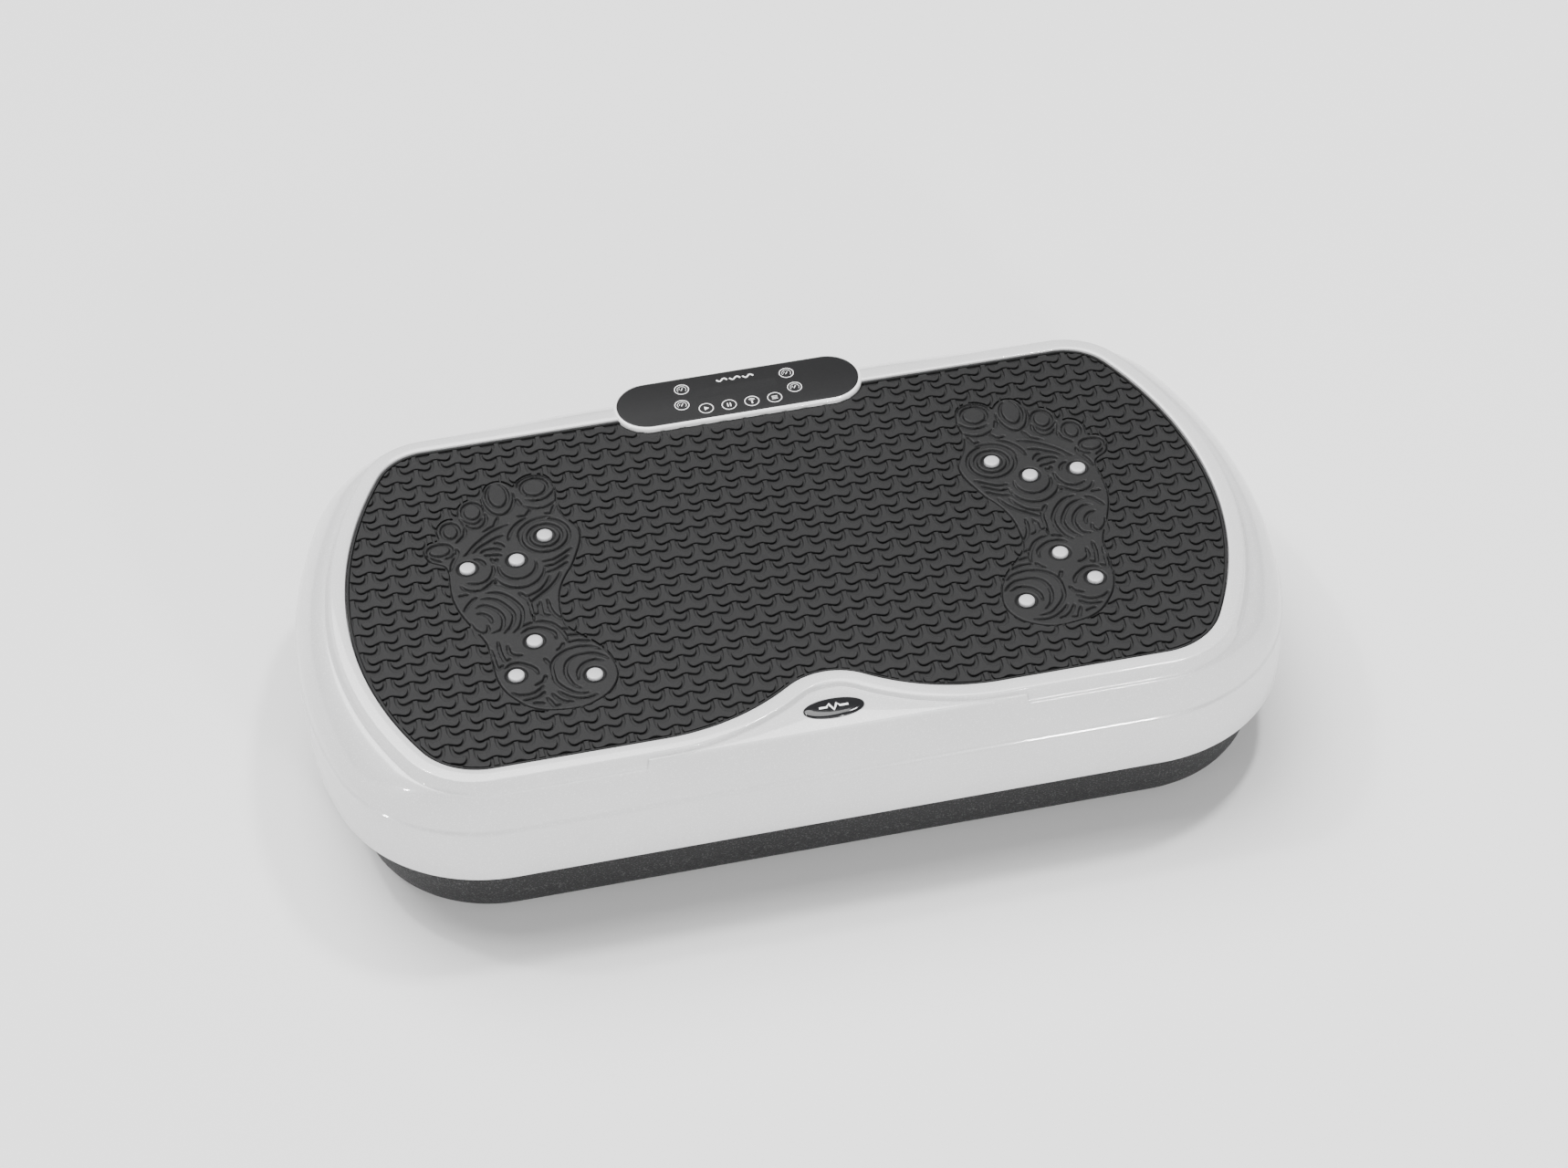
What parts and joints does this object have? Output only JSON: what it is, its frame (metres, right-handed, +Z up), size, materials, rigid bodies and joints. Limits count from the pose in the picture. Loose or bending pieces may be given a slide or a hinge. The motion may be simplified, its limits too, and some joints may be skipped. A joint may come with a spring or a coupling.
{
  "type": "vibration plate",
  "caption": "Compact seesaw vibration plate: glossy rocking platform with a footprint mat, magnet studs and touch panel on a dark base with belt and eccentric drive.",
  "frame": {"origin": "on the floor under the middle of the plate", "axes": "+X along the length, +Y to the rear where the control panel is, +Z up"},
  "size_m": [0.53, 0.296, 0.1135],
  "materials": {
    "shell_gloss": "gloss off-white with a fine pearl speckle",
    "mat_rubber": "matte dark grey moulded rubber",
    "stud_steel": "satin",
    "bezel_gloss": "gloss white",
    "overlay_film": "dark tinted film, semi-gloss",
    "display_black": "black",
    "circuit_board": "green solder mask",
    "badge_black": "high gloss",
    "tray_plastic": "grained",
    "rubber_black": "matte",
    "zinc_steel": "zinc plated sheet",
    "ground_steel": "ground",
    "dark_paint": "satin paint",
    "cast_alloy": "die cast",
    "magnet_dark": "sintered ferrite, dull",
    "lamination": "stacked sheet",
    "copper_brass": "turned",
    "machined_alloy": "extruded",
    "capacitor_sleeve": "shrink sleeve",
    "terminal_green": "moulded",
    "nylon": "natural nylon",
    "cable_dark": "PVC insulation",
    "cable_red": "PVC insulation",
    "socket_black": "moulded",
    "contact_plate": "nickel plated",
    "rocker_red": "gloss"
  },
  "bodies": {
    "base": {"base_tray": "tray_plastic", "rubber_feet": "rubber_black", "foot_screws": "zinc_steel", "chassis_plate": "zinc_steel", "chassis_screws": "dark_paint", "bearing_blocks": "cast_alloy", "pivot_bearings": "ground_steel", "block_bolts": "zinc_steel", "motor_can": "dark_paint", "motor_end_bells": "cast_alloy", "motor_magnets": "magnet_dark", "motor_saddles": "cast_alloy", "motor_straps": "zinc_steel", "crank_blocks": "cast_alloy", "crank_bearings": "ground_steel", "drive_belt": "rubber_black", "buffer_posts": "tray_plastic", "buffer_pads": "rubber_black", "driver_board": "circuit_board", "board_standoffs": "nylon", "heat_sink": "machined_alloy", "board_capacitor": "capacitor_sleeve", "terminal_blocks": "terminal_green", "mains_leads": "cable_dark", "motor_leads": "cable_red", "power_inlet": "socket_black", "inlet_pins": "contact_plate", "switch_housing": "socket_black"},
    "platform": {"top_shell": "shell_gloss", "rubber_mat": "mat_rubber", "magnet_studs": "stud_steel", "panel_housing": "bezel_gloss", "panel_overlay": "overlay_film", "display_module": "display_black", "touch_board": "circuit_board", "front_badge": "badge_black", "swing_plate": "zinc_steel", "swing_channels": "zinc_steel", "shaft_clamps": "cast_alloy", "clamp_bolts": "zinc_steel", "pivot_shaft": "ground_steel", "link_brackets": "zinc_steel", "link_pin": "ground_steel", "shell_screws": "dark_paint"},
    "crank": {"eccentric_shaft": "ground_steel", "large_pulley": "machined_alloy"},
    "rotor": {"motor_shaft": "ground_steel", "rotor_core": "lamination", "commutator": "copper_brass", "small_pulley": "machined_alloy", "cooling_fan": "socket_black"},
    "rod": {"connecting_rod": "cast_alloy", "rod_bearing": "ground_steel", "rod_bush": "rubber_black"},
    "switch": {"power_rocker": "rocker_red"}
  },
  "joints": [
    {"name": "platform_rock", "type": "hinge", "parent": "base", "child": "platform", "pos_m": [0, -0.005, 0.062], "axis": [0, 1, 0], "range_deg": [-1.4, 1.4], "stiffness_Nm_per_rad": 400},
    {"name": "crank_spin", "type": "hinge", "parent": "base", "child": "crank", "pos_m": [-0.08, 0.01, 0.044], "axis": [0, 1, 0], "continuous": true},
    {"name": "rotor_spin", "type": "hinge", "parent": "base", "child": "rotor", "pos_m": [-0.15, 0, 0.044], "axis": [0, 1, 0], "continuous": true},
    {"name": "rod_pivot", "type": "hinge", "parent": "crank", "child": "rod", "pos_m": [-0.078, 0.01, 0.044], "axis": [0, 1, 0], "continuous": true},
    {"name": "power_switch", "type": "hinge", "parent": "base", "child": "switch", "pos_m": [-0.112, 0.134, 0.027], "axis": [1, 0, 0], "range_deg": [0, 16]}
  ],
  "couplings": [
    {"joint": "rotor_spin", "follows": "crank_spin", "ratio": 2.1667},
    {"joint": "rod_pivot", "follows": "crank_spin", "ratio": -1}
  ]
}
